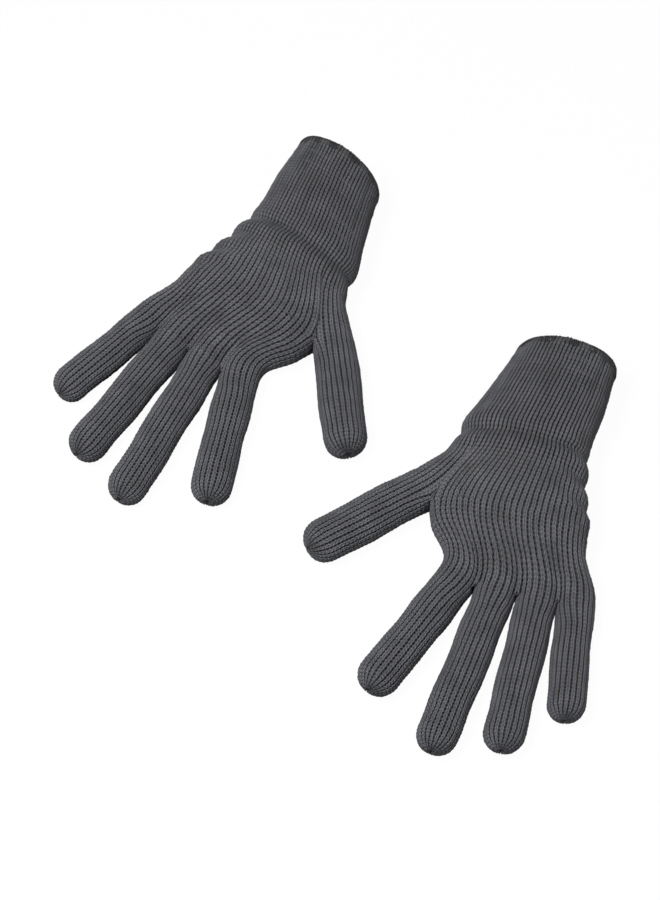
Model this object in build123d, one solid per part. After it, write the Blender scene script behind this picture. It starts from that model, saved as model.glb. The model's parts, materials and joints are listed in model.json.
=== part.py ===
from build123d import *
import math
import os

# A pair of knitted work gloves lying palm down, each filled out as if a hand were in it.
# Row frame: +Z up, the gloves rest on z = 0, the origin is under the middle of the pair.
# Glove frame: origin on the table under the wrist, +Y towards the fingers, thumb at
# +X times the glove's side (left hand +1, right hand -1).

# Knitted fabric
WALL = 2.0                    # thickness of the seven-gauge knit
EDGE_GAP = 0.15               # air between the overlock bead and each face of the hem
THREAD_GAP = 0.6              # air between a laid-in elastic thread and the knit
FINGER_GAP = 0.3              # air between neighbouring fingers at their roots
TABLE_FLAT = 0.8              # how far the palm's round underside is pressed flat

# Hand: half width, half height and sideways centre of the slab-like cross-sections
WRIST_HALF_W, WRIST_HALF_H, WRIST_X = 38.0, 22.0, 14.5
HEEL_HALF_W, HEEL_HALF_H, HEEL_X, HEEL_Y = 45.5, 20.0, 16.0, 30.0
THENAR_HALF_W, THENAR_HALF_H, THENAR_X, THENAR_Y = 45.0, 18.0, 12.0, 52.0
METACARPAL_HALF_W, METACARPAL_HALF_H, METACARPAL_X, METACARPAL_Y = 43.0, 15.5, 7.0, 70.0
KNUCKLE_ROW_Y = 88.0
FINGER_ROW_X = 0.6

# Wrist crease and cuff
WRIST_ZONE = 9.0              # half length of the soft band between cuff and hand
CUFF_LENGTH = 51.0            # wrist band to rim
HEM_LENGTH = 5.0              # straight stretch inside the overlocked edge
RIM_HALF_W, RIM_HALF_H, RIM_X = 30.0, 26.5, 2.0
EDGE_THICKNESS = 0.9          # overlock thread on each face of the hem
EDGE_DEPTH = 4.0              # how far the overlock stitches reach in from the rim
ELASTIC_THREAD = 0.9
ELASTIC_COUNT = 6

# Digits: radius, length of the stub knitted on to the hand, and distances along the axis
# from the root to the middle hinge and to the centre of the round tip
DIGITS = {
    "index": {"radius": 11.8, "stub": 6.5, "joint": 41.0, "tip": 71.0},
    "middle": {"radius": 11.6, "stub": 5.0, "joint": 48.0, "tip": 93.0},
    "ring": {"radius": 11.3, "stub": 5.0, "joint": 43.0, "tip": 83.0},
    "little": {"radius": 10.6, "stub": 5.0, "joint": 34.0, "tip": 60.0},
    "thumb": {"radius": 12.8, "stub": 12.0, "joint": 46.0, "tip": 71.0},
}
FINGER_ROW = ["little", "ring", "middle", "index"]
LITTLE_ROOT_SETBACK = 2.0     # the little finger starts this much nearer the wrist
THUMB_ROOT = (60.0, 30.0)
HINGE_DROP = 0.35             # hinges lie this share of the radius below the digit's axis
BASE_FLEX, JOINT_FLEX = 75.0, 80.0
THUMB_SWING = 20.0
HINGE_CLEARANCE = 0.5         # spare length of each soft band beyond what its bend closes
THUMB_BAND = 5.0              # half length of the band that the thumb swings on

# How each glove of the pair lies: side, turn from +Y, wrist position and digit splay
GLOVES = {
    "right": {
        "side": -1, "turn": 144.5, "at": (-31.0, 146.0),
        "splay": {"index": 24.0, "middle": 8.5, "ring": 0.5, "little": -9.0, "thumb": 42.0},
    },
    "left": {
        "side": 1, "turn": 166.0, "at": (124.0, -1.0),
        "splay": {"index": 22.5, "middle": 7.5, "ring": 0.0, "little": -6.0, "thumb": 46.0},
    },
}


# Geometry shared by the pieces of one glove

def slab(half_w, half_h, x, y, z, side):
    """A slot-shaped cross-section standing across the glove at y."""
    plane = Plane(origin=(side * x, y, z), x_dir=(1, 0, 0), z_dir=(0, -1, 0))
    return plane * SlotOverall(2 * half_w, 2 * half_h)


def finger_roots():
    """Root positions of the four fingers, set side by side from their radii."""
    width = sum(2 * DIGITS[name]["radius"] for name in FINGER_ROW)
    width += FINGER_GAP * (len(FINGER_ROW) - 1)
    edge = FINGER_ROW_X - width / 2
    roots = {}
    for name in FINGER_ROW:
        radius = DIGITS[name]["radius"]
        setback = LITTLE_ROOT_SETBACK if name == "little" else 0.0
        roots[name] = (edge + radius, KNUCKLE_ROW_Y - setback)
        edge += 2 * radius + FINGER_GAP
    return roots, width / 2


ROOTS, KNUCKLE_HALF_W = finger_roots()
ROOTS["thumb"] = THUMB_ROOT
KNUCKLE_HALF_H = max(DIGITS[name]["radius"] for name in FINGER_ROW)


def digit_line(name, glove):
    """Root point and unit direction of one digit in the glove frame."""
    side = glove["side"]
    angle = math.radians(glove["splay"][name]) * side
    x, y = ROOTS[name]
    root = Vector(side * x, y, DIGITS[name]["radius"])
    return root, Vector(math.sin(angle), math.cos(angle), 0)


def band_half_length(name, flex):
    """Half length of a soft band that still clears at its full bend."""
    reach = DIGITS[name]["radius"] * (1 - HINGE_DROP)
    return reach * math.tan(math.radians(flex / 2)) + HINGE_CLEARANCE


def digit_stations(name):
    """Distances from the root at which the digit's five stretches meet."""
    size = DIGITS[name]
    base = THUMB_BAND if name == "thumb" else band_half_length(name, BASE_FLEX)
    joint = band_half_length(name, JOINT_FLEX)
    return size["stub"], size["stub"] + 2 * base, size["joint"] - joint, size["joint"] + joint


def rod(root, direction, start, end, radius):
    """A solid cylinder along a digit's axis between two distances from its root."""
    plane = Plane(origin=root + direction * start, z_dir=direction)
    return extrude(plane * Circle(radius), end - start)


def tube(root, direction, start, end, radius):
    return rod(root, direction, start, end, radius) - rod(root, direction, start, end, radius - WALL)


# Hand and digits

def hand_shell(side, inset):
    """The filled-out hand between the wrist band and the knuckle row, shrunk by inset."""
    lift = -TABLE_FLAT
    stations = [
        (WRIST_HALF_W, WRIST_HALF_H, WRIST_X, WRIST_ZONE),
        (HEEL_HALF_W, HEEL_HALF_H, HEEL_X, HEEL_Y),
        (THENAR_HALF_W, THENAR_HALF_H, THENAR_X, THENAR_Y),
        (METACARPAL_HALF_W, METACARPAL_HALF_H, METACARPAL_X, METACARPAL_Y),
        (KNUCKLE_HALF_W, KNUCKLE_HALF_H, FINGER_ROW_X, KNUCKLE_ROW_Y - inset),
    ]
    sections = []
    for half_w, half_h, x, y in stations:
        sections.append(slab(half_w - inset, half_h - inset, x, y, half_h + lift, side))
    solid = loft(sections)
    under = Pos(0, 0, inset - 50) * Box(400, 400, 100)
    return solid - under


def digit_stub(name, glove, radius):
    """Round-ended stub that grows out of the hand, buried as deep as the wrist band allows."""
    root, direction = digit_line(name, glove)
    full_radius = DIGITS[name]["radius"]
    room = root.Y - full_radius - WRIST_ZONE - EDGE_GAP
    start = root - direction * min(full_radius, room)
    length = (root - start).length + digit_stations(name)[0]
    return rod(start, direction, 0, length, radius) + Pos(*start) * Sphere(radius)


def palm(glove):
    """Hollow hand with a stub for each digit, all opening into one cavity."""
    side = glove["side"]
    outer = hand_shell(side, 0)
    inner = hand_shell(side, WALL)
    for name, size in DIGITS.items():
        outer += digit_stub(name, glove, size["radius"])
        inner += digit_stub(name, glove, size["radius"] - WALL)
    return outer - inner


def digit_pieces(name, glove):
    """Soft base band, lower tube, soft middle band and closed tip of one digit."""
    root, direction = digit_line(name, glove)
    radius, tip = DIGITS[name]["radius"], DIGITS[name]["tip"]
    stub_end, lower_start, lower_end, tip_start = digit_stations(name)
    dome = Pos(*(root + direction * tip)) * Sphere(radius)
    hollow_dome = Pos(*(root + direction * tip)) * Sphere(radius - WALL)
    shell = rod(root, direction, tip_start, tip, radius) + dome
    shell -= rod(root, direction, tip_start, tip, radius - WALL) + hollow_dome
    return {
        f"{name}_base_band": tube(root, direction, stub_end, lower_start, radius),
        f"{name}_lower": tube(root, direction, lower_start, lower_end, radius),
        f"{name}_joint_band": tube(root, direction, lower_end, tip_start, radius),
        f"{name}_tip": shell,
    }


# Wrist band and cuff

def wrist_band(glove):
    """The crease between hand and cuff, where the glove bends at the wrist."""
    side = glove["side"]
    centre_z = WRIST_HALF_H - TABLE_FLAT
    outer = slab(WRIST_HALF_W, WRIST_HALF_H, WRIST_X, WRIST_ZONE, centre_z, side)
    inner = slab(WRIST_HALF_W - WALL, WRIST_HALF_H - WALL, WRIST_X, WRIST_ZONE, centre_z, side)
    band = extrude(outer - inner, 2 * WRIST_ZONE)
    return band - Pos(0, 0, -50) * Box(400, 400, 100)


def cuff_profile(y, inset, side):
    """Cross-section of the tapering cuff at y; it stays straight along the hem."""
    taper_end = -WRIST_ZONE - CUFF_LENGTH + HEM_LENGTH
    share = min(1.0, (y + WRIST_ZONE) / (taper_end + WRIST_ZONE))
    half_w = WRIST_HALF_W + (RIM_HALF_W - WRIST_HALF_W) * share
    half_h = WRIST_HALF_H + (RIM_HALF_H - WRIST_HALF_H) * share
    x = WRIST_X + (RIM_X - WRIST_X) * share
    wrist_z = WRIST_HALF_H - TABLE_FLAT
    z = wrist_z + (RIM_HALF_H + EDGE_THICKNESS - wrist_z) * share
    return slab(half_w - inset, half_h - inset, x, y, z, side)


def cuff_solid(inset, side):
    rim_y = -WRIST_ZONE - CUFF_LENGTH
    hem_y = rim_y + HEM_LENGTH
    flare = loft([cuff_profile(-WRIST_ZONE, inset, side), cuff_profile(hem_y, inset, side)], ruled=True)
    return flare + extrude(cuff_profile(hem_y, inset, side), HEM_LENGTH)


def cuff(glove):
    side = glove["side"]
    shell = cuff_solid(0, side) - cuff_solid(WALL, side)
    return shell - Pos(0, 0, -50) * Box(400, 400, 100)


def cuff_elastic(glove):
    """Elastic threads laid in along the courses, just inside the knit."""
    side = glove["side"]
    first = -WRIST_ZONE - HEM_LENGTH
    last = -WRIST_ZONE - CUFF_LENGTH + 2 * HEM_LENGTH
    outside = WALL + THREAD_GAP
    threads = []
    for number in range(ELASTIC_COUNT):
        y = first + (last - first) * number / (ELASTIC_COUNT - 1)
        ring = cuff_profile(y, outside, side) - cuff_profile(y, outside + ELASTIC_THREAD, side)
        threads.append(extrude(ring, ELASTIC_THREAD))
    return Part() + threads


def cuff_edge(glove):
    """Overlock bead that wraps the rim: a channel over both faces of the hem."""
    side = glove["side"]
    rim_y = -WRIST_ZONE - CUFF_LENGTH
    bead_y = rim_y - EDGE_THICKNESS
    outer = cuff_profile(rim_y + EDGE_DEPTH, -EDGE_THICKNESS, side)
    inner = cuff_profile(rim_y + EDGE_DEPTH, WALL + EDGE_THICKNESS, side)
    bead = extrude(outer - inner, rim_y + EDGE_DEPTH - bead_y)
    slot_outer = cuff_profile(rim_y + EDGE_DEPTH, -EDGE_GAP, side)
    slot_inner = cuff_profile(rim_y + EDGE_DEPTH, WALL + EDGE_GAP, side)
    return bead - extrude(slot_outer - slot_inner, EDGE_DEPTH)


def glove_pieces(glove):
    pieces = {
        "palm": palm(glove),
        "wrist_band": wrist_band(glove),
        "cuff": cuff(glove),
        "cuff_elastic": cuff_elastic(glove),
        "cuff_edge": cuff_edge(glove),
    }
    for name in DIGITS:
        pieces.update(digit_pieces(name, glove))
    return pieces


def placement(glove):
    return Location((*glove["at"], 0), (0, 0, glove["turn"]))


def build_pair():
    """All pieces of both gloves, with the pair centred on the origin."""
    placed = {}
    for hand, glove in GLOVES.items():
        for name, piece in glove_pieces(glove).items():
            placed[f"{hand}_{name}"] = placement(glove) * piece
    boxes = [piece.bounding_box() for piece in placed.values()]
    middle_x = (min(box.min.X for box in boxes) + max(box.max.X for box in boxes)) / 2
    middle_y = (min(box.min.Y for box in boxes) + max(box.max.Y for box in boxes)) / 2
    shift = Vector(-middle_x, -middle_y, 0)
    for name in placed:
        placed[name] = Pos(*shift) * placed[name]
    return placed, shift


if __name__ == "__main__":
    os.makedirs("parts", exist_ok=True)
    pair, pair_shift = build_pair()
    for node, piece in pair.items():
        export_step(piece, f"parts/{node}.step")
    print(len(pair), "pieces, shifted by", pair_shift)
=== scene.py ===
import bmesh
import bpy
import json
import math
import numpy as np
from mathutils import Matrix, Vector


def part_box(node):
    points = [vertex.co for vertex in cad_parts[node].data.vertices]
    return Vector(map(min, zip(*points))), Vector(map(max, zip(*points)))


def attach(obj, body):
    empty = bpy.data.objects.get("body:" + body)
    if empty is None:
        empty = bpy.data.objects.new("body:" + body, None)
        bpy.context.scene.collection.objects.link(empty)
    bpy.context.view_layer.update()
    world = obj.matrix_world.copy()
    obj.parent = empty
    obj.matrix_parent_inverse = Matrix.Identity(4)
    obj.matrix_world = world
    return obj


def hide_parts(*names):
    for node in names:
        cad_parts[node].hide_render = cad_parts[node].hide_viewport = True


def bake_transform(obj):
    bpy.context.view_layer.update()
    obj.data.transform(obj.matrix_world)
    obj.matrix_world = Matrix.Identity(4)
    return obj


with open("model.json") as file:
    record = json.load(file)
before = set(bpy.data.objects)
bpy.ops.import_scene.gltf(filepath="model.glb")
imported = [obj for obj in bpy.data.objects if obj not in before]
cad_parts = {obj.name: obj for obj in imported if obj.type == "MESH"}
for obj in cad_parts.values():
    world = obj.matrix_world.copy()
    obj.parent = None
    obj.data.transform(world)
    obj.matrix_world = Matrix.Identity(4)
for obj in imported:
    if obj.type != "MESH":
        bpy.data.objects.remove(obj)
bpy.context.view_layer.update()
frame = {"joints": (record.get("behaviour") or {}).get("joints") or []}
MM = 0.001

# ---------------------------------------------------------------------------
# Camera, lamps and table.
# The pair lies on a plain white table top under broad, soft studio light, with
# the camera above the fingertips, looking down at the backs of the gloves.

AIM = Vector((-3.1, -10.5, 16.7)) * MM
CAMERA_DISTANCE = 1.6
CAMERA_ELEVATION = math.radians(60)
LENS = 111.6


def srgb(code):
    """Linear colour from an sRGB hex string such as 4a4b4e."""
    values = [int(code[i:i + 2], 16) / 255 for i in (0, 2, 4)]
    linear = [v / 12.92 if v <= 0.04045 else ((v + 0.055) / 1.055) ** 2.4 for v in values]
    return (*linear, 1.0)


def add_node(tree, kind, settings=None, **inputs):
    """Add a shader node; an input given as a socket is linked, anything else is set."""
    node = tree.nodes.new(kind)
    for name, value in (settings or {}).items():
        setattr(node, name, value)
    for name, value in inputs.items():
        key = int(name[1:]) if name[0] == "_" else name.replace("_", " ")
        if isinstance(value, bpy.types.NodeSocket):
            tree.links.new(value, node.inputs[key])
        else:
            node.inputs[key].default_value = value
    return node


camera_data = bpy.data.cameras.new("camera")
camera_data.lens = LENS
camera_data.sensor_width = 36
camera_data.clip_start, camera_data.clip_end = 0.05, 20
camera = bpy.data.objects.new("camera", camera_data)
back = Vector((0, -math.cos(CAMERA_ELEVATION), math.sin(CAMERA_ELEVATION)))
camera.location = AIM + back * CAMERA_DISTANCE
camera.rotation_mode = "QUATERNION"
camera.rotation_quaternion = (-back).to_track_quat("-Z", "Y")
bpy.context.scene.collection.objects.link(camera)
bpy.context.scene.camera = camera
bpy.context.scene.view_settings.view_transform = "Standard"


def soft_lamp(name, place, size, power):
    """A square soft box aimed at the middle of the pair."""
    data = bpy.data.lights.new(name, "AREA")
    data.size, data.energy = size, power
    lamp = bpy.data.objects.new(name, data)
    lamp.location = place
    lamp.rotation_mode = "QUATERNION"
    lamp.rotation_quaternion = (AIM - Vector(place)).to_track_quat("-Z", "Y")
    bpy.context.scene.collection.objects.link(lamp)


soft_lamp("key_lamp", (-0.35, -0.30, 1.20), 0.35, 17.5)
soft_lamp("fill_lamp", (0.75, -0.85, 0.95), 0.6, 3)

world = bpy.data.worlds.new("studio")
world.use_nodes = True
bpy.context.scene.world = world
studio = world.node_tree
studio.nodes.clear()
rays = add_node(studio, "ShaderNodeLightPath")
seen = add_node(studio, "ShaderNodeMath", {"operation": "MAXIMUM"},
                _0=rays.outputs["Is Camera Ray"], _1=rays.outputs["Is Glossy Ray"])
ambient = add_node(studio, "ShaderNodeBackground", Color=(1, 1, 1, 1), Strength=0.06)
backdrop = add_node(studio, "ShaderNodeBackground", Color=(1, 1, 1, 1), Strength=1.0)
sky = add_node(studio, "ShaderNodeMixShader", _0=seen.outputs[0],
               _1=ambient.outputs[0], _2=backdrop.outputs[0])
add_node(studio, "ShaderNodeOutputWorld", Surface=sky.outputs[0])

# The table's white is its own colour; a share of it shows as plain white to the
# camera, and the rest is lit, so that the gloves keep a faint contact shadow.
table = bpy.data.materials.new("white_table_laminate")
table.use_nodes = True
tree = table.node_tree
tree.nodes.clear()
rays = add_node(tree, "ShaderNodeLightPath")
lit = add_node(tree, "ShaderNodeBsdfDiffuse", Color=srgb("8a8a8a"))
plain = add_node(tree, "ShaderNodeEmission", Color=(1, 1, 1, 1), Strength=1.1)
share = add_node(tree, "ShaderNodeMath", {"operation": "MULTIPLY"},
                 _0=rays.outputs["Is Camera Ray"], _1=0.88)
top = add_node(tree, "ShaderNodeMixShader", _0=share.outputs[0], _1=lit.outputs[0], _2=plain.outputs[0])
add_node(tree, "ShaderNodeOutputMaterial", Surface=top.outputs[0])
bm = bmesh.new()
bmesh.ops.create_grid(bm, x_segments=1, y_segments=1, size=3)
table_mesh = bpy.data.meshes.new("table")
bm.to_mesh(table_mesh)
bm.free()
table_mesh.materials.append(table)
table_top = bpy.data.objects.new("table", table_mesh)
bpy.context.scene.collection.objects.link(table_top)

# ---------------------------------------------------------------------------
# Knitting yarn and knitted cloth.
# Both gloves are knitted on a seven-gauge machine from a thick plied yarn with a
# fine steel wire in its core. Every stitch is made here as a loop of that yarn.

WALE = 3.3 * MM               # width of one stitch, nominal
COURSE = 2.4 * MM             # height of one stitch, nominal
LOOP_STEPS = 12               # lengths of yarn in one stitch
YARN_SIDES = 4
# The cloth is closed from behind by a dark sheet whose colour is painted shade between the stitches; it lies
# between these two depths.
SHADE_SHEET_DEPTH = 0.95 * MM     # the loops' heads and feet close the cloth this far in
SHADE_SHEET_BACK = 1.9 * MM
PRESSED = 0.6 * MM            # stitches nearer the table than this are flattened on to it
# A stitch's yarn radius and relief; the lean of its two legs and how closely they are
# drawn together, as shares of the wale. Rib stitches are thinner and stand closer.
PLAIN = {"radius": 0.60 * MM, "relief": 0.46 * MM, "lean": 0.20, "gather": 0.10}
RIB = {"radius": 0.49 * MM, "relief": 0.42 * MM, "lean": 0.13, "gather": 0.11}


def plain_loop(wale, course, style):
    """Centre line of a stitch: two legs in front, head and feet behind."""
    def path(t):
        x = wale * (t / (2 * math.pi) + style["lean"] * math.sin(2 * t) + style["gather"] * math.sin(t))
        return Vector((x, -0.93 * course * math.cos(t), -style["relief"] * math.cos(2 * t)))
    return path


def yarn_loop(path, radius, steps, cell):
    """One stitch: a ring of yarn extruded along path, with its own cell of the bake map."""
    bm = bmesh.new()
    bake = bm.loops.layers.uv.new("OFBake")
    yarn = bm.loops.layers.uv.new("Yarn")
    depth_shade = bm.verts.layers.float.new("depth_shade")
    place = {}
    ring = bmesh.ops.create_circle(bm, segments=YARN_SIDES, radius=radius)["verts"]
    previous = Matrix.Identity(4)
    for step in range(steps + 1):
        t = 2 * math.pi * step / steps
        ahead = (path(t + 0.05) - path(t - 0.05)).normalized()
        frame_at = ahead.to_track_quat("Z", "Y").to_matrix().to_4x4()
        frame_at.translation = path(t)
        if step:
            edges = [edge for edge in bm.edges if all(v in ring for v in edge.verts)]
            out = bmesh.ops.extrude_edge_only(bm, edges=edges)["geom"]
            fresh = [item for item in out if isinstance(item, bmesh.types.BMVert)]
            near = {}
            for vert in fresh:
                match = min(ring, key=lambda old: (old.co - vert.co).length)
                near[vert] = place[match][1]
            ring = sorted(fresh, key=lambda v: near[v])
            order = sorted(near.values())
        else:
            order = list(range(YARN_SIDES))
        bmesh.ops.transform(bm, matrix=frame_at @ previous.inverted(), verts=ring)
        previous = frame_at
        for vert, side in zip(ring, order):
            place[vert] = (step, side)
    # depth_shade is 1 on the raised legs and 0 on the sunken heads and feet; the yarn's colour darkens with
    # it as painted shade
    for vert, (step, _) in place.items():
        vert[depth_shade] = 0.5 - 0.5 * math.cos(4 * math.pi * step / steps)
    for face in bm.faces:
        sides = [place[loop.vert][1] for loop in face.loops]
        wraps = max(sides) - min(sides) > 1
        for loop in face.loops:
            step, side = place[loop.vert]
            side = side + YARN_SIDES if wraps and side == 0 else side
            along, around = step / steps, side / YARN_SIDES
            loop[yarn].uv = (along, around)
            loop[bake].uv = ((0.05 + 0.9 * along) * cell[0], (0.05 + 0.9 * around) * cell[1])
    bmesh.ops.recalc_face_normals(bm, faces=bm.faces)
    mesh = bpy.data.meshes.new("stitch")
    bm.to_mesh(mesh)
    bm.free()
    return mesh


def knit_flat(stitch, wales, courses, wale, course, cell):
    """Stitches side by side and row on row, as a flat piece of cloth."""
    cloth = bpy.data.objects.new("cloth", stitch)
    bpy.context.scene.collection.objects.link(cloth)
    for count, step, shift in ((wales, (wale, 0, 0), (cell[0], 0)), (courses, (0, course, 0), (0, cell[1]))):
        row = cloth.modifiers.new("rows", "ARRAY")
        row.count = count
        row.use_relative_offset = False
        row.use_constant_offset = True
        row.constant_offset_displace = step
        row.use_merge_vertices = step[0] > 0
        row.merge_threshold = 0.02 * MM
        row.offset_u, row.offset_v = shift
    bpy.context.view_layer.update()
    graph = bpy.context.evaluated_depsgraph_get()
    mesh = bpy.data.meshes.new_from_object(cloth.evaluated_get(graph))
    bpy.data.objects.remove(cloth)
    return mesh


def smooth(value):
    value = np.clip(value, 0, 1)
    return value * value * (3 - 2 * value)


def surface(rings):
    """Outward normals of a tube given as rings of points, one ring to a course."""
    around = np.roll(rings, -1, axis=1) - np.roll(rings, 1, axis=1)
    along = np.gradient(rings, axis=0)
    normal = np.cross(along, around)
    return normal / np.maximum(np.linalg.norm(normal, axis=2, keepdims=True), 1e-9)


def rumple(rings, seed, pleats=0.0):
    """The unevenness of well-used cloth: wrist crease, folds, cuff pleats and loose stitches."""
    x, y = rings[..., 0] / MM, rings[..., 1] / MM
    crease = 1.2 * np.exp(-((y - 8) / 4.5) ** 2) - 1.9 * np.exp(-((y - 0.5) / 2.6) ** 2)
    folds = 0.6 * np.sin(x / 9 + 1.7 * np.sin(y / 17)) * np.sin(y / 10 + 0.8 * np.sin(x / 13))
    side = np.exp(-((x + 22) / 14) ** 2 - ((y - 26) / 19) ** 2)
    wrinkles = 1.2 * side * np.sin(y / 2.1 + x / 7)
    turn = np.arange(rings.shape[1]) / rings.shape[1] * 2 * math.pi
    pleat = -pleats * np.maximum(0, np.sin(13 * turn + 1.4 * np.sin(3 * turn))) ** 2 * smooth((-y - 6) / 12)
    chance = np.random.default_rng(seed).normal(size=rings.shape)
    along = surface(rings) * (crease + folds + wrinkles + pleat)[..., None]
    return rings + (along + chance * 0.11) * MM


def dress(flat, rings, first):
    """Lay flat cloth, in stitches across and courses up, on the tube from course first."""
    normals = surface(rings)
    rows, wales = rings.shape[:2]
    u, v, height = flat[:, 0], flat[:, 1] + first, flat[:, 2]
    row = np.clip(np.floor(v).astype(int), 0, rows - 2)
    column = np.floor(u).astype(int)
    fv, fu = (v - row)[:, None], (u - column)[:, None]
    left, right = column % wales, (column + 1) % wales
    corners = ((row, left, (1 - fu) * (1 - fv)), (row, right, fu * (1 - fv)),
               (row + 1, left, (1 - fu) * fv), (row + 1, right, fu * fv))
    place = sum(rings[r, c] * weight for r, c, weight in corners)
    normal = sum(normals[r, c] * weight for r, c, weight in corners)
    normal /= np.maximum(np.linalg.norm(normal, axis=1, keepdims=True), 1e-9)
    return place + normal * height[:, None]


def knitted_piece(name, hand, rings, first, last, wale, course, style):
    """A tube of knitting from course first to course last of a set of rings."""
    wales, courses = rings.shape[1], last - first
    cell = (1 / wales, 1 / (courses + 2))
    stitch = yarn_loop(plain_loop(wale, course, style), style["radius"], LOOP_STEPS, cell)
    mesh = knit_flat(stitch, wales, courses, wale, course, cell)
    bm = bmesh.new()
    bm.from_mesh(mesh)
    knit_faces = len(bm.faces)
    # A sheet behind the stitches, given the second material, whose near-black colour is painted shade
    # between them.
    bmesh.ops.create_grid(bm, x_segments=wales, y_segments=courses, size=0.5)
    bm.verts.ensure_lookup_table()
    sheet = [v for f in list(bm.faces)[knit_faces:] for v in f.verts]
    sheet = list(dict.fromkeys(sheet))
    stretch = Matrix.Diagonal((wales * wale, courses * course, 1, 1))
    shift = Matrix.Translation((wales * wale / 2, courses * course / 2, -SHADE_SHEET_DEPTH))
    bmesh.ops.transform(bm, matrix=shift @ stretch, verts=sheet)
    sheet_faces = list(bm.faces)[knit_faces:]
    bmesh.ops.solidify(bm, geom=sheet_faces, thickness=SHADE_SHEET_BACK - SHADE_SHEET_DEPTH)
    bake = bm.loops.layers.uv["OFBake"]
    for face in list(bm.faces)[knit_faces:]:
        face.material_index = 1
        lift = courses / (courses + 2) + (0 if face.normal.z > 0 else 1 / (courses + 2))
        for loop in face.loops:
            across = loop.vert.co.x / (wales * wale)
            up = loop.vert.co.y / (courses * course)
            loop[bake].uv = (across, lift + up / (courses + 2))
    bm.to_mesh(mesh)
    bm.free()
    flat = np.empty(len(mesh.vertices) * 3)
    mesh.vertices.foreach_get("co", flat)
    flat = flat.reshape(-1, 3) / (wale, course, 1)
    formed = hand.to_row(dress(flat, rings, first))
    low = formed[:, 2] < PRESSED
    formed[low, 2] = PRESSED * np.exp(formed[low, 2] / PRESSED - 1)
    mesh.vertices.foreach_set("co", formed.ravel())
    return finish_piece(name, hand, mesh)


def finish_piece(name, hand, mesh):
    """Close the tube where its last wale meets its first, and face it outwards."""
    bm = bmesh.new()
    bm.from_mesh(mesh)
    edge = list({v for e in bm.edges if e.is_boundary for v in e.verts})
    bmesh.ops.remove_doubles(bm, verts=edge, dist=0.01 * MM)
    if hand.side > 0:
        bmesh.ops.reverse_faces(bm, faces=bm.faces)
    for face in bm.faces:
        face.smooth = True
    bm.to_mesh(mesh)
    bm.free()
    piece = bpy.data.objects.new(name, mesh)
    bpy.context.scene.collection.objects.link(piece)
    return piece


def yarn_material():
    """Plied polyester and glass-fibre yarn: charcoal, faintly lustrous on top of each ply, with painted
    shade in the grooves between plies and on the sunken heads and feet of each stitch.
    """
    material = bpy.data.materials.new("plied_wire_core_yarn")
    material.use_nodes = True
    tree = material.node_tree
    tree.nodes.clear()
    spot = add_node(tree, "ShaderNodeTexCoord")
    ply_uv = add_node(tree, "ShaderNodeUVMap", {"uv_map": "Yarn"})
    mottle = add_node(tree, "ShaderNodeTexNoise", Vector=spot.outputs["Object"], Scale=90.0, Detail=3.0)
    tone = add_node(tree, "ShaderNodeMix", {"data_type": "RGBA"}, _0=mottle.outputs["Fac"],
                    _6=srgb("38393d"), _7=srgb("86878f"))
    turned = add_node(tree, "ShaderNodeMapping", Vector=ply_uv.outputs["UV"], Scale=(5.0, 1.0, 1.0))
    turned.inputs["Rotation"].default_value = (0, 0, math.radians(35))
    plies = add_node(tree, "ShaderNodeTexWave", Vector=turned.outputs[0], Scale=1.0, Distortion=0.8)
    # Painted shade: the colour is darkened where the ply wave is low, in the grooves between plies that the
    # bump also draws
    ply_groove_shade = add_node(tree, "ShaderNodeMix", {"data_type": "RGBA", "blend_type": "MULTIPLY"}, _0=0.7,
                        _6=tone.outputs[2], _7=plies.outputs["Color"])
    # Painted shade: the sunken heads and feet of each stitch are darkened, and the raised legs keep the full
    # tone
    depth_shade = add_node(tree, "ShaderNodeAttribute", {"attribute_name": "depth_shade"})
    depth_shade_curve = add_node(tree, "ShaderNodeMath", {"operation": "POWER"}, _0=depth_shade.outputs["Fac"], _1=2.4)
    depth_shade_factor = add_node(tree, "ShaderNodeMath", {"operation": "MULTIPLY_ADD"}, _0=depth_shade_curve.outputs[0],
                    _1=0.88, _2=0.12)
    depth_shaded_tone = add_node(tree, "ShaderNodeMix", {"data_type": "RGBA", "blend_type": "MULTIPLY"}, _0=1.0,
                         _6=ply_groove_shade.outputs[2], _7=depth_shade_factor.outputs[0])
    fuzz = add_node(tree, "ShaderNodeTexNoise", Vector=spot.outputs["Object"], Scale=2200.0, Detail=2.0)
    relief = add_node(tree, "ShaderNodeMath", {"operation": "ADD"},
                      _0=plies.outputs["Fac"], _1=fuzz.outputs["Fac"])
    bump = add_node(tree, "ShaderNodeBump", Height=relief.outputs[0], Strength=0.5, Distance=0.15 * MM)
    shader = add_node(tree, "ShaderNodeBsdfPrincipled", Base_Color=depth_shaded_tone.outputs[2], Roughness=0.55,
                      Normal=bump.outputs[0], Sheen_Weight=0.15, Sheen_Roughness=0.4)
    add_node(tree, "ShaderNodeOutputMaterial", Surface=shader.outputs[0])
    return material


def shade_sheet_material():
    """The back of the cloth, a sheet behind the stitches: coloured nearly black as painted shade between the
    legs.
    """
    material = bpy.data.materials.new("painted_shade_sheet")
    material.use_nodes = True
    tree = material.node_tree
    tree.nodes.clear()
    spot = add_node(tree, "ShaderNodeTexCoord")
    grain = add_node(tree, "ShaderNodeTexNoise", Vector=spot.outputs["Object"], Scale=700.0, Detail=2.0)
    tone = add_node(tree, "ShaderNodeMix", {"data_type": "RGBA"}, _0=grain.outputs["Fac"],
                    _6=srgb("08080a"), _7=srgb("151517"))
    bump = add_node(tree, "ShaderNodeBump", Height=grain.outputs["Fac"], Strength=0.6, Distance=0.4 * MM)
    shader = add_node(tree, "ShaderNodeBsdfPrincipled", Base_Color=tone.outputs[2], Roughness=0.9,
                      Normal=bump.outputs[0])
    add_node(tree, "ShaderNodeOutputMaterial", Surface=shader.outputs[0])
    return material


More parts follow.
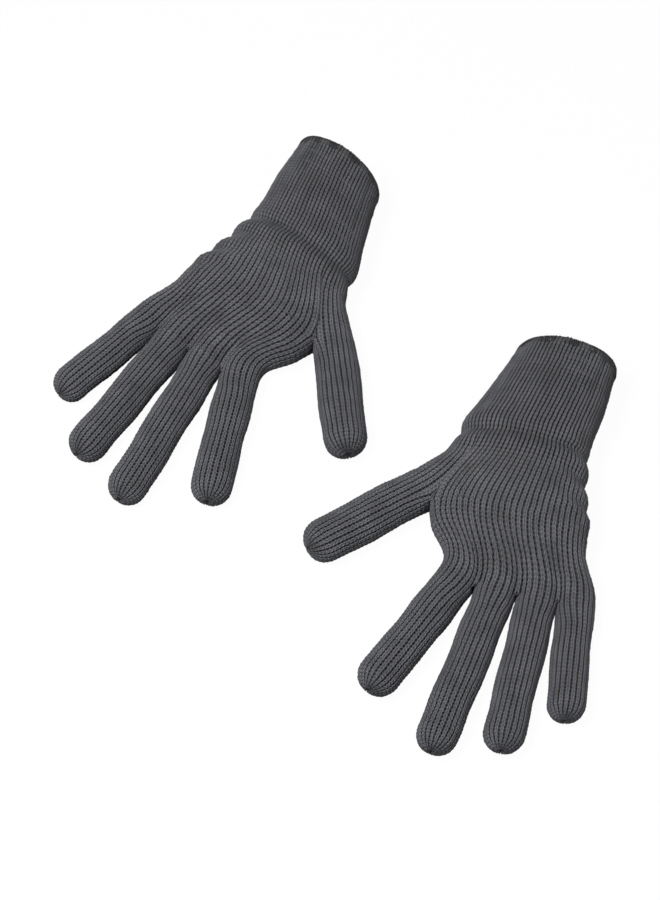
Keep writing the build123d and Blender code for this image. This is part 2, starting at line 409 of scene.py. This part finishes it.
YARN = yarn_material()
SHADE_SHEET = shade_sheet_material()

# ---------------------------------------------------------------------------
# The form that each glove is knitted to.
# A filled hand in its own frame: origin on the table under the wrist, +Y to the
# fingers, thumb at +X. The joints and boxes of the frame say where it lies.

WRIST_OFFSET = 14.5 * MM      # the wrist is this far to the thumb side of the hand's line
KNUCKLE_ROW = 88.0 * MM
ROOT_ROW = {"index": KNUCKLE_ROW, "middle": KNUCKLE_ROW, "ring": KNUCKLE_ROW,
            "little": 86.0 * MM, "thumb": 30.0 * MM}
DIGITS = ("index", "middle", "ring", "little", "thumb")
JOINTS = {joint["name"]: joint for joint in frame["joints"]}


class Hand:
    """Where one glove lies, and the axis of each of its digits in its own frame."""

    def __init__(self, name):
        self.name = name
        wrist = JOINTS[name + "_wrist_bend"]
        across = np.array(wrist["axis"], float)
        along = np.array((-across[1], across[0], 0.0))
        base = np.array(JOINTS[name + "_thumb_swing"]["pos_m"], float) - wrist["pos_m"]
        self.side = 1.0 if base @ across > 0 else -1.0
        self.axes = np.array((across * self.side, along, (0, 0, 1)))
        self.origin = np.array((*wrist["pos_m"][:2], 0.0)) - self.axes[0] * WRIST_OFFSET
        self.digits = {digit: self.digit(digit) for digit in DIGITS}

    def to_row(self, points):
        return points @ self.axes + self.origin

    def to_hand(self, point):
        return (np.array(point, float) - self.origin) @ self.axes.T

    def digit(self, name):
        """Root, direction, radius and the distances of the hinges and the tip's centre."""
        first = "_thumb_swing" if name == "thumb" else f"_{name}_knuckle"
        base = self.to_hand(JOINTS[self.name + first]["pos_m"])[:2]
        middle = self.to_hand(JOINTS[f"{self.name}_{name}_bend"]["pos_m"])[:2]
        direction = (middle - base) / np.linalg.norm(middle - base)
        low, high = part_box(f"{self.name}_{name}_tip")
        radius = (high[2] - low[2]) / 2
        heading = direction @ self.axes[:2]
        centre = [high[i] - radius if heading[i] > 0 else low[i] + radius for i in (0, 1)]
        centre = self.to_hand((*centre, 0))[:2]
        root = base - direction * (base[1] - ROOT_ROW[name]) / direction[1]
        reach = [float((p - root) @ direction) for p in (base, middle, centre)]
        return {"root": root, "direction": direction, "radius": radius,
                "base": reach[0], "joint": reach[1], "tip": reach[2]}

    def along(self, name, distance):
        """A point on a digit's axis, in the row frame."""
        digit = self.digits[name]
        x, y = digit["root"] + digit["direction"] * distance
        return self.to_row(np.array((x, y, digit["radius"])))


# Cross-sections of the filled hand and cuff, in millimetres: distance along the
# hand, half width, half height, sideways centre, and squareness of the outline
SECTIONS = np.array((
    (-60.0, 29.5, 26.6, 2.0, 2.05),
    (-45.0, 31.3, 25.6, 4.8, 2.10),
    (-25.0, 34.4, 23.9, 9.6, 2.20),
    (-8.0, 37.0, 22.0, 14.0, 2.25),
    (0.0, 37.2, 21.2, 14.6, 2.30),
    (9.0, 39.8, 21.2, 14.8, 2.35),
    (30.0, 44.6, 19.8, 14.5, 2.45),
    (52.0, 44.8, 18.0, 12.0, 2.50),
    (70.0, 43.2, 15.6, 7.2, 2.70),
    (88.0, 46.0, 12.0, 0.6, 3.40),
))


def outline(y, count=720):
    """A closed outline of the hand at y, and the share of its girth at each point."""
    columns = (np.interp(y / MM, SECTIONS[:, 0], SECTIONS[:, i]) for i in range(1, 5))
    half_w, half_h, x, power = columns
    thin = SKIN / MM
    turn = np.linspace(0, 2 * math.pi, count + 1)
    wide = np.sign(np.cos(turn)) * np.abs(np.cos(turn)) ** (2 / power)
    high = np.sign(np.sin(turn)) * np.abs(np.sin(turn)) ** (2 / power)
    points = np.stack((x + (half_w - thin) * wide, np.full(count + 1, y / MM),
                       half_h + (half_h - thin) * high), axis=1) * MM
    steps = np.linalg.norm(np.diff(points, axis=0), axis=1)
    girth = np.concatenate(((0.0,), np.cumsum(steps)))
    return points, girth / girth[-1]


def ring_at(y, shares):
    """Points on the hand's outline at y for given shares of its girth."""
    points, girth = outline(y)
    return np.stack([np.interp(shares, girth, points[:, i]) for i in range(3)], axis=1)


def even(count):
    return (np.arange(count) + 0.5) / count


LOWER_WALES = 76              # cuff and the hand below the thumb's crotch
UPPER_WALES = 62              # the hand between the thumb's crotch and the fingers
THUMB_WALES = 24
FINGER_WALES = {"index": 22, "middle": 22, "ring": 22, "little": 20}
RIM_Y, WRIST_Y, CROTCH_Y = -60.0 * MM, 2.0 * MM, 47.0 * MM
THUMB_FROM_HAND = 18          # wales that pass from the hand into the thumb
LOWER_COURSES = 19            # wrist to the thumb's crotch
UPPER_COURSES = 17            # the thumb's crotch to the knuckles
TIP_COURSES = 8               # the round end of a digit
SETTLING_COURSES = 6          # a crotch's distortion dies out over this many courses
THUMB_SLANT = (11.5 * MM, 2.5 * MM)   # the thumb's first course: mean distance and slant
FINGER_START = 1.0 * MM
SKIN = 0.6 * MM               # the yarn's middle lies this far under the glove's surface
VALLEY = math.radians(28)     # knuckle stitches reach this far down between two fingers


def digit_ring(digit, distance, count, radius=None, turn=None):
    """Points round a digit at one distance, or one distance per wale, from its root."""
    turn = 2 * math.pi * even(count) if turn is None else turn
    radius = digit["radius"] - SKIN if radius is None else radius
    direction = np.array((*digit["direction"], 0.0))
    lateral = np.array((digit["direction"][1], -digit["direction"][0], 0.0))
    centre = np.array((*digit["root"], digit["radius"]))
    reach = np.broadcast_to(distance, turn.shape)[:, None]
    side = radius * np.cos(turn)[:, None]
    up = radius * np.sin(turn)[:, None]
    return centre + direction * reach + lateral * side + np.array((0, 0, 1.0)) * up


def thumb_start(hand):
    """The thumb's first course, which slants out from the crotch."""
    turn = 2 * math.pi * even(THUMB_WALES)
    distance = THUMB_SLANT[0] + THUMB_SLANT[1] * np.cos(turn)
    return digit_ring(hand.digits["thumb"], distance, THUMB_WALES)


def finger_slots(name):
    """For each wale of a finger, the wale of the upper hand that it grows from, or -1."""
    slots = {
        "index": list(range(0, 9)) + [-1] * 4 + list(range(53, 62)),
        "middle": [-1] * 2 + list(range(9, 16)) + [-1] * 4 + list(range(46, 53)) + [-1] * 2,
        "ring": [-1] * 2 + list(range(16, 23)) + [-1] * 4 + list(range(39, 46)) + [-1] * 2,
        "little": [-1] * 2 + list(range(23, 39)) + [-1] * 2,
    }
    return slots[name]


def knuckle_turn(name):
    """Directions of a finger's wales at its root, where those in the valleys are squeezed."""
    count = FINGER_WALES[name]
    turn = 2 * math.pi * even(count)
    valley = VALLEY * np.array((-0.6, -0.2, 0.2, 0.6))
    if name == "index":
        turn[:9] = np.linspace(turn[0], math.pi - VALLEY, 9)
        turn[9:13] = math.pi + valley
        turn[13:] = 2 * math.pi - turn[:9][::-1]
    elif name == "little":
        turn[2:18] = np.linspace(VALLEY, 2 * math.pi - VALLEY, 16)
        turn[[18, 19, 0, 1]] = valley
    else:
        turn[2:9] = np.linspace(VALLEY, math.pi - VALLEY, 7)
        turn[9:13] = math.pi + valley
        turn[13:20] = np.linspace(math.pi + VALLEY, 2 * math.pi - VALLEY, 7)
        turn[[20, 21, 0, 1]] = valley
    return turn


def knuckle_ring(hand):
    """Last course of the upper hand: a scallop round each finger. Also each wale's direction."""
    ring = np.zeros((UPPER_WALES, 3))
    heading = np.zeros((UPPER_WALES, 3))
    for name, count in FINGER_WALES.items():
        digit = hand.digits[name]
        points = digit_ring(digit, FINGER_START, count, turn=knuckle_turn(name))
        for own, slot in enumerate(finger_slots(name)):
            if slot >= 0:
                ring[slot] = points[own]
                heading[slot] = (*digit["direction"], 0.0)
    return ring, heading


def crotch_ring(hand):
    """Where the hand splits into thumb and upper hand, as both of those rings."""
    upper = ring_at(CROTCH_Y, even(UPPER_WALES))
    thumb = thumb_start(hand)
    half = THUMB_FROM_HAND // 2
    spare = (UPPER_WALES - (LOWER_WALES - THUMB_FROM_HAND)) // 2
    pairs = ((spare, half - 1), (UPPER_WALES - 1 - spare, THUMB_WALES - half))
    corners = []
    for in_upper, in_thumb in pairs:
        middle = (upper[in_upper] + thumb[in_thumb]) / 2
        upper[in_upper] = middle + (upper[in_upper] - middle) * 0.4
        thumb[in_thumb] = middle + (thumb[in_thumb] - middle) * 0.4
        corners.append(middle)
    gusset = THUMB_WALES - THUMB_FROM_HAND
    for number in range(gusset):
        share = (number + 0.5) / gusset
        thumb[half + number] = corners[0] * (1 - share) + corners[1] * share
    order = list(range(spare - 1, -1, -1)) + list(range(UPPER_WALES - 1, UPPER_WALES - 1 - spare, -1))
    for number, index in enumerate(order):
        share = (number + 0.5) / len(order)
        upper[index] = corners[0] * (1 - share) + corners[1] * share
    return upper, thumb


def cuff_rings(courses):
    rows = np.linspace(RIM_Y + 2 * MM, WRIST_Y, courses + 1)
    shares = even(LOWER_WALES)
    return np.stack([ring_at(y, shares) for y in rows])


def lower_rings(hand, courses):
    """From the wrist to the thumb's crotch: each wale is one smooth curve to its own end."""
    start = ring_at(WRIST_Y, even(LOWER_WALES))
    upper, thumb = crotch_ring(hand)
    half = THUMB_FROM_HAND // 2
    spare = (UPPER_WALES - (LOWER_WALES - THUMB_FROM_HAND)) // 2
    end = np.concatenate((thumb[:half], upper[spare:UPPER_WALES - spare], thumb[THUMB_WALES - half:]))
    ahead = np.tile((0.0, 1.0, 0.0), (LOWER_WALES, 1))
    leave = ahead.copy()
    leave[:half] = leave[LOWER_WALES - half:] = (*hand.digits["thumb"]["direction"], 0.0)
    span = np.linalg.norm(end - start, axis=1, keepdims=True)
    rows = []
    for t in np.linspace(0, 1, courses + 1):
        a, b = 2 * t**3 - 3 * t**2 + 1, t**3 - 2 * t**2 + t
        c, d = -2 * t**3 + 3 * t**2, t**3 - t**2
        rows.append(a * start + b * span * ahead + c * end + d * span * leave)
    return np.stack(rows)


def upper_rings(hand, courses):
    """From the thumb's crotch to the fingers: a smooth slab that scallops at the knuckles."""
    knuckles, heading = knuckle_ring(hand)
    first, _ = crotch_ring(hand)
    natural = ring_at(CROTCH_Y, even(UPPER_WALES))
    slab, girth = outline(KNUCKLE_ROW)
    nearest = [np.argmin(np.linalg.norm((slab - p)[:, (0, 2)], axis=1)) for p in knuckles]
    shares_end = girth[nearest]
    shares_end = np.where((shares_end > 0.9) & (np.arange(UPPER_WALES) < 5), shares_end - 1, shares_end)
    rows = []
    for number in range(courses + 1):
        t = number / courses
        y = CROTCH_Y + (KNUCKLE_ROW - CROTCH_Y) * t
        shares = even(UPPER_WALES) * (1 - smooth(t)) + shares_end * smooth(t)
        flat = ring_at(y, shares % 1.0)
        tube = knuckles - heading * (KNUCKLE_ROW - y)
        weight = smooth((y - 56 * MM) / (KNUCKLE_ROW - 56 * MM))
        fade = max(0.0, 1 - number / SETTLING_COURSES) ** 2
        rows.append(flat * (1 - weight) + tube * weight + (first - natural) * fade)
    return np.stack(rows)


def digit_rings(hand, name, courses_straight):
    """Straight stretch and blunt round end of a digit, ring by ring."""
    digit = hand.digits[name]
    count = THUMB_WALES if name == "thumb" else FINGER_WALES[name]
    rows = []
    if name == "thumb":
        _, first = crotch_ring(hand)
        natural = thumb_start(hand)
        begin = THUMB_SLANT[0] + THUMB_SLANT[1] * np.cos(2 * math.pi * even(count))
    else:
        begin = np.full(count, FINGER_START)
    for number in range(courses_straight):
        t = number / courses_straight
        distance = begin + (digit["tip"] - begin) * t
        if name == "thumb":
            fade = max(0.0, 1 - number / SETTLING_COURSES) ** 2
            rows.append(digit_ring(digit, distance, count) + (first - natural) * fade)
        else:
            evenly, squeezed = 2 * math.pi * even(count), knuckle_turn(name)
            squeezed = evenly + (squeezed - evenly + math.pi) % (2 * math.pi) - math.pi
            turn = squeezed + (evenly - squeezed) * smooth(number / 7)
            rows.append(digit_ring(digit, distance, count, turn=turn))
    for number in range(TIP_COURSES + 1):
        turn = math.pi / 2 * number / TIP_COURSES
        blunt = max(0.02, math.cos(turn)) ** 0.8
        outer = digit["radius"] - SKIN
        rows.append(digit_ring(digit, digit["tip"] + outer * math.sin(turn) * 0.96, count,
                               radius=outer * blunt))
    return np.stack(rows)


HANDS = [Hand("right"), Hand("left")]

# ---------------------------------------------------------------------------
# Cuff and wrist.
# The cuff is mock rib, drawn in by elastic threads, so its wales are narrower.
# At the wrist the plain knit starts with a crease.

CUFF_COURSES = 27
CUFF_WALE, CUFF_COURSE = 2.45 * MM, 2.3 * MM
WRIST_FROM = 21               # course at which the cuff proper ends
WRIST_COURSES = 5             # courses of the hand that belong to the wrist
WRIST_BEND = 12.0 * MM        # a distance each side of the wrist's hinge

for hand in HANDS:
    rings = rumple(cuff_rings(CUFF_COURSES), 11, pleats=1.0)
    lower = rumple(lower_rings(hand, LOWER_COURSES), 12)
    cuff = knitted_piece(f"{hand.name}_cuff_rib", hand, rings, 0, WRIST_FROM,
                         CUFF_WALE, CUFF_COURSE, RIB)
    wrist_rows = np.concatenate((rings[WRIST_FROM:-1], lower[:WRIST_COURSES + 1]))
    wrist = knitted_piece(f"{hand.name}_wrist_knit", hand, wrist_rows, 0, len(wrist_rows) - 1,
                          CUFF_WALE, CUFF_COURSE, RIB)
    for piece in (cuff, wrist):
        piece.data.materials.append(YARN)
        piece.data.materials.append(SHADE_SHEET)
    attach(cuff, f"{hand.name}_cuff")
    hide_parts(f"{hand.name}_cuff")
    towards_cuff = hand.to_row(np.array((WRIST_OFFSET, -WRIST_BEND, 0.02)))
    towards_hand = hand.to_row(np.array((WRIST_OFFSET, WRIST_BEND, 0.02)))
    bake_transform(wrist)
    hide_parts(f"{hand.name}_wrist_band")

# ---------------------------------------------------------------------------
# Overlocked rim and elastic.
# A finer black thread is whipped over the cuff's raw edge, and six threads of
# rubber, covered in grey nylon, are laid into the rib behind it.

OVERLOCK_PITCH, OVERLOCK_COUNT = 1.26 * MM, 140
OVERLOCK_RADIUS = 0.55 * MM


def whip_stitch(t):
    """One turn of thread round the hem's edge."""
    return Vector((OVERLOCK_PITCH * t / (2 * math.pi), (2.0 + 2.4 * math.cos(t)) * MM,
                   (-1.0 - 1.5 * math.sin(t)) * MM))


def thread_material(name, code, roughness, scale):
    """Plain dyed thread with a little unevenness along it."""
    material = bpy.data.materials.new(name)
    material.use_nodes = True
    tree = material.node_tree
    tree.nodes.clear()
    spot = add_node(tree, "ShaderNodeTexCoord")
    fibre = add_node(tree, "ShaderNodeTexNoise", Vector=spot.outputs["Object"], Scale=scale, Detail=3.0)
    tone = add_node(tree, "ShaderNodeMix", {"data_type": "RGBA", "blend_type": "MULTIPLY"}, _0=0.5,
                    _6=srgb(code), _7=fibre.outputs["Color"])
    bump = add_node(tree, "ShaderNodeBump", Height=fibre.outputs["Fac"], Strength=0.4, Distance=0.1 * MM)
    shader = add_node(tree, "ShaderNodeBsdfPrincipled", Base_Color=tone.outputs[2], Roughness=roughness,
                      Normal=bump.outputs[0])
    add_node(tree, "ShaderNodeOutputMaterial", Surface=shader.outputs[0])
    return material


OVERLOCK = thread_material("black_overlock_thread", "1d1d20", 0.6, 1800.0)
ELASTIC = thread_material("nylon_covered_elastic", "5a5b60", 0.7, 1500.0)

for hand in HANDS:
    step = 3.0 * MM
    rows = RIM_Y + step * np.arange(-1, 3)
    rim = rumple(np.stack([ring_at(y, even(OVERLOCK_COUNT)) for y in rows]), 15)
    stitch = yarn_loop(whip_stitch, OVERLOCK_RADIUS, LOOP_STEPS, (1 / OVERLOCK_COUNT, 1.0))
    whipping = knit_flat(stitch, OVERLOCK_COUNT, 1, OVERLOCK_PITCH, step, (1 / OVERLOCK_COUNT, 1.0))
    flat = np.empty(len(whipping.vertices) * 3)
    whipping.vertices.foreach_get("co", flat)
    flat = flat.reshape(-1, 3) / (OVERLOCK_PITCH, step, 1)
    formed = hand.to_row(dress(flat, rim, 1))
    whipping.vertices.foreach_set("co", formed.ravel())
    edge = finish_piece(f"{hand.name}_cuff_overlock", hand, whipping)
    edge.data.materials.append(OVERLOCK)
    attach(edge, f"{hand.name}_cuff")
    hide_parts(f"{hand.name}_cuff_edge")
    threads = bpy.data.objects[f"{hand.name}_cuff_elastic"]
    threads.data.materials.clear()
    threads.data.materials.append(ELASTIC)

# ---------------------------------------------------------------------------
# Hand.
# Plain knit from the wrist to the fingers. Below the thumb's crotch the tube
# holds the thumb's wales too; above it the cloth scallops over the four fingers.

for hand in HANDS:
    lower = rumple(lower_rings(hand, LOWER_COURSES), 12)
    heel = knitted_piece(f"{hand.name}_heel_knit", hand, lower, WRIST_COURSES, LOWER_COURSES,
                         2.9 * MM, COURSE, PLAIN)
    upper = rumple(upper_rings(hand, UPPER_COURSES), 13)
    knuckles = knitted_piece(f"{hand.name}_knuckle_knit", hand, upper, 0, UPPER_COURSES,
                             WALE, COURSE, PLAIN)
    for piece in (heel, knuckles):
        piece.data.materials.append(YARN)
        piece.data.materials.append(SHADE_SHEET)
        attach(piece, f"{hand.name}_hand")
        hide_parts(f"{hand.name}_palm")

# ---------------------------------------------------------------------------
# Digits.
# Each is a narrow tube of plain knit closed at a blunt end. It is made in two lengths
# that meet between its root and its middle joint.

for hand in HANDS:
    for name in DIGITS:
        digit = hand.digits[name]
        first = THUMB_SLANT[0] if name == "thumb" else FINGER_START
        straight = round((digit["tip"] - first) / COURSE)
        rings = rumple(digit_rings(hand, name, straight), 14)
        start = digit["tip"] - straight * COURSE
        meet = round(((digit["base"] + digit["joint"]) / 2 - start) / COURSE)
        lower = knitted_piece(f"{hand.name}_{name}_lower_knit", hand, rings, 0, meet,
                              WALE, COURSE, PLAIN)
        upper = knitted_piece(f"{hand.name}_{name}_tip_knit", hand, rings, meet, straight + TIP_COURSES,
                              WALE, COURSE, PLAIN)
        for piece in (lower, upper):
            piece.data.materials.append(YARN)
            piece.data.materials.append(SHADE_SHEET)
        near = 4.0 * MM if name == "thumb" else min(11.5 * MM, digit["base"] - 0.5 * MM)
        far = min(11.0 * MM, (digit["joint"] - digit["base"]) / 2 - 1.5 * MM)
        body = f"{hand.name}_{name}_lower"
        hand.along(name, digit["base"] - near)
        hand.along(name, digit["base"] + near)
        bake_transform(lower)
        hand.along(name, digit["joint"] - far)
        hand.along(name, digit["joint"] + far)
        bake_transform(upper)
        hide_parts(f"{hand.name}_{name}_base_band", body)
        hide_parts(f"{hand.name}_{name}_joint_band", f"{hand.name}_{name}_tip")
